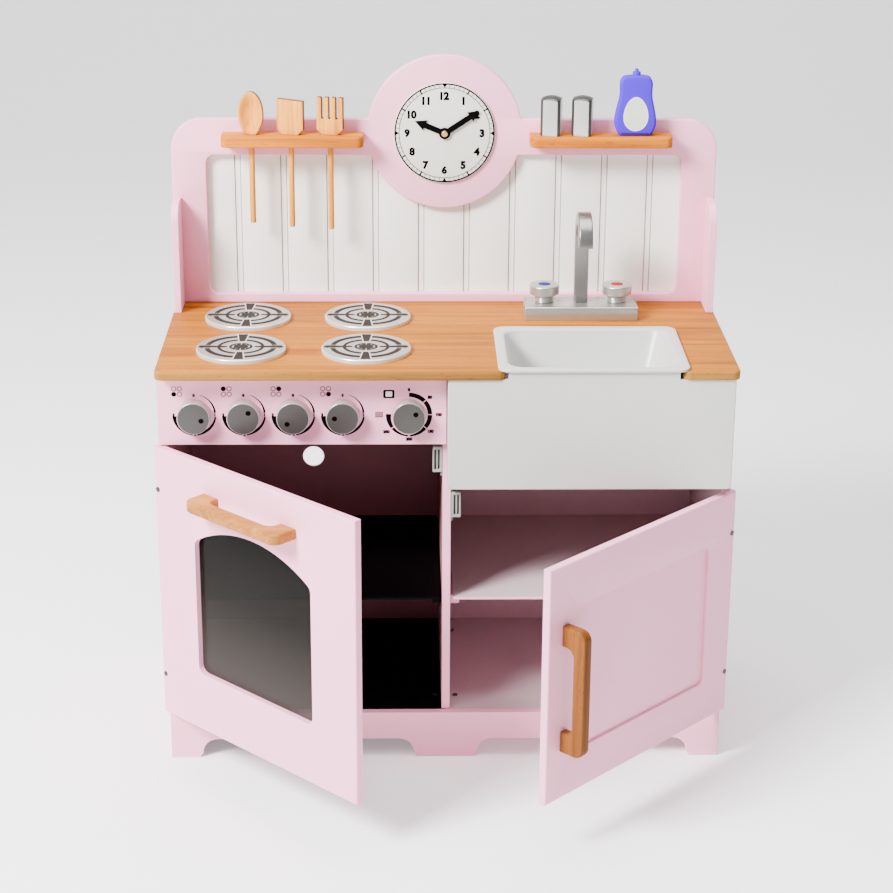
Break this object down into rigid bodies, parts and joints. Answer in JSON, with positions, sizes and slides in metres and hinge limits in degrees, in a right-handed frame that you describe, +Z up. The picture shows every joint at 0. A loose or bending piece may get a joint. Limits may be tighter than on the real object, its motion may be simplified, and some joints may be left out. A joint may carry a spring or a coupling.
{
  "type": "play kitchen",
  "caption": "Pale pink wooden play kitchen with an oven, a cupboard, a hob, a lift-out sink, a swivelling tap and a clock backboard.",
  "frame": {"origin": "on the floor, under the middle of the plinth's centre foot", "axes": "+X to the right seen from the front, +Y to the back, +Z up"},
  "size_m": [0.6102, 0.4643, 0.731],
  "materials": {
    "pink_paint": "satin paint",
    "white_paint": "satin paint",
    "black_paint": "satin paint",
    "beech": "satin lacquer",
    "silver_paint": "metallic paint",
    "sink_white": "gloss",
    "dial_white": "matte",
    "black_plastic": "matte",
    "violet_paint": "satin paint",
    "clear_acrylic": "clear",
    "white_plastic": "matte",
    "steel": "satin"
  },
  "bodies": {
    "cabinet": {"side_panel_left": "pink_paint", "side_panel_right": "pink_paint", "divider_panel": "pink_paint", "oven_base": "black_paint", "cupboard_base": "pink_paint", "centre_bearer": "pink_paint", "back_panel": "pink_paint", "plinth": "pink_paint", "worktop": "beech", "control_panel": "pink_paint", "oven_shelf": "black_paint", "cupboard_shelf": "pink_paint", "oven_battens": "black_paint", "cupboard_battens": "pink_paint", "magnetic_catches": "white_plastic", "backboard": "pink_paint", "grooved_panel": "white_paint", "wing_left": "pink_paint", "wing_right": "pink_paint", "clock_dial": "dial_white", "clock_pin": "steel", "utensil_shelf": "beech", "spice_shelf": "beech", "burner_front_left": "silver_paint", "burner_front_right": "silver_paint", "burner_back_left": "silver_paint", "burner_back_right": "silver_paint", "sink_front": "sink_white", "sink_rail": "pink_paint", "tap_base": "silver_paint", "spindles": "steel", "frame_leaves": "steel", "hinge_pins": "steel", "carcass_screws": "steel"},
    "oven_door": {"oven_door": "pink_paint", "oven_window": "clear_acrylic", "oven_handle": "beech", "oven_door_leaves": "steel", "oven_door_fixings": "steel"},
    "cupboard_door": {"cupboard_door": "pink_paint", "cupboard_handle": "beech", "cupboard_door_leaves": "steel", "cupboard_door_fixings": "steel"},
    "hob_knob_1": {"hob_knob_1": "silver_paint"},
    "hob_knob_2": {"hob_knob_2": "silver_paint"},
    "hob_knob_3": {"hob_knob_3": "silver_paint"},
    "hob_knob_4": {"hob_knob_4": "silver_paint"},
    "oven_knob": {"oven_knob": "silver_paint"},
    "minute_hand": {"minute_hand": "black_plastic"},
    "hour_hand": {"hour_hand": "black_plastic"},
    "tap_knob_cold": {"tap_knob_cold": "silver_paint"},
    "tap_knob_hot": {"tap_knob_hot": "silver_paint"},
    "tap_spout": {"tap_spout": "silver_paint"},
    "spoon": {"spoon": "beech"},
    "spatula": {"spatula": "beech"},
    "fork": {"fork": "beech"},
    "shaker_left": {"shaker_left": "silver_paint"},
    "shaker_right": {"shaker_right": "silver_paint"},
    "bottle": {"bottle": "violet_paint"},
    "sink_basin": {"sink_basin": "sink_white"}
  },
  "joints": [
    {"name": "oven_door_hinge", "type": "hinge", "parent": "cabinet", "child": "oven_door", "pos_m": [-0.3, 0.0043, 0.2098], "axis": [0, 0, 1], "range_deg": [-125.5, 44.5]},
    {"name": "cupboard_door_hinge", "type": "hinge", "parent": "cabinet", "child": "cupboard_door", "pos_m": [0.3, 0.0043, 0.1842], "axis": [0, 0, 1], "range_deg": [-45.3, 124.7]},
    {"name": "hob_knob_1_turn", "type": "hinge", "parent": "cabinet", "child": "hob_knob_1", "pos_m": [-0.262, -0.0109, 0.3987], "axis": [0, 1, 0], "continuous": true},
    {"name": "hob_knob_2_turn", "type": "hinge", "parent": "cabinet", "child": "hob_knob_2", "pos_m": [-0.2108, -0.0109, 0.3987], "axis": [0, 1, 0], "continuous": true},
    {"name": "hob_knob_3_turn", "type": "hinge", "parent": "cabinet", "child": "hob_knob_3", "pos_m": [-0.1596, -0.0109, 0.3987], "axis": [0, 1, 0], "continuous": true},
    {"name": "hob_knob_4_turn", "type": "hinge", "parent": "cabinet", "child": "hob_knob_4", "pos_m": [-0.1084, -0.0109, 0.3987], "axis": [0, 1, 0], "continuous": true},
    {"name": "oven_knob_turn", "type": "hinge", "parent": "cabinet", "child": "oven_knob", "pos_m": [-0.0398, -0.0109, 0.3987], "axis": [0, 1, 0], "continuous": true},
    {"name": "minute_hand_turn", "type": "hinge", "parent": "cabinet", "child": "minute_hand", "pos_m": [0, 0.2186, 0.646], "axis": [0, 1, 0], "continuous": true},
    {"name": "hour_hand_turn", "type": "hinge", "parent": "cabinet", "child": "hour_hand", "pos_m": [0, 0.2186, 0.646], "axis": [0, 1, 0], "continuous": true},
    {"name": "cold_tap_turn", "type": "hinge", "parent": "cabinet", "child": "tap_knob_cold", "pos_m": [0.11, 0.175, 0.478], "axis": [0, 0, 1], "continuous": true},
    {"name": "hot_tap_turn", "type": "hinge", "parent": "cabinet", "child": "tap_knob_hot", "pos_m": [0.19, 0.175, 0.478], "axis": [0, 0, 1], "continuous": true},
    {"name": "spout_swivel", "type": "hinge", "parent": "cabinet", "child": "tap_spout", "pos_m": [0.15, 0.175, 0.5], "axis": [0, 0, 1], "range_deg": [-125, 125]},
    {"name": "spoon_lift", "type": "slide", "parent": "cabinet", "child": "spoon", "axis": [0, 0, 1], "range_m": [0, 0.12]},
    {"name": "spatula_lift", "type": "slide", "parent": "cabinet", "child": "spatula", "axis": [0, 0, 1], "range_m": [0, 0.12]},
    {"name": "fork_lift", "type": "slide", "parent": "cabinet", "child": "fork", "axis": [0, 0, 1], "range_m": [0, 0.12]},
    {"name": "shaker_left_lift", "type": "slide", "parent": "cabinet", "child": "shaker_left", "axis": [0, 0, 1], "range_m": [0, 0.05]},
    {"name": "shaker_right_lift", "type": "slide", "parent": "cabinet", "child": "shaker_right", "axis": [0, 0, 1], "range_m": [0, 0.05]},
    {"name": "bottle_lift", "type": "slide", "parent": "cabinet", "child": "bottle", "axis": [0, 0, 1], "range_m": [0, 0.05]},
    {"name": "sink_basin_lift", "type": "slide", "parent": "cabinet", "child": "sink_basin", "axis": [0, 0, 1], "range_m": [0, 0.08]}
  ]
}
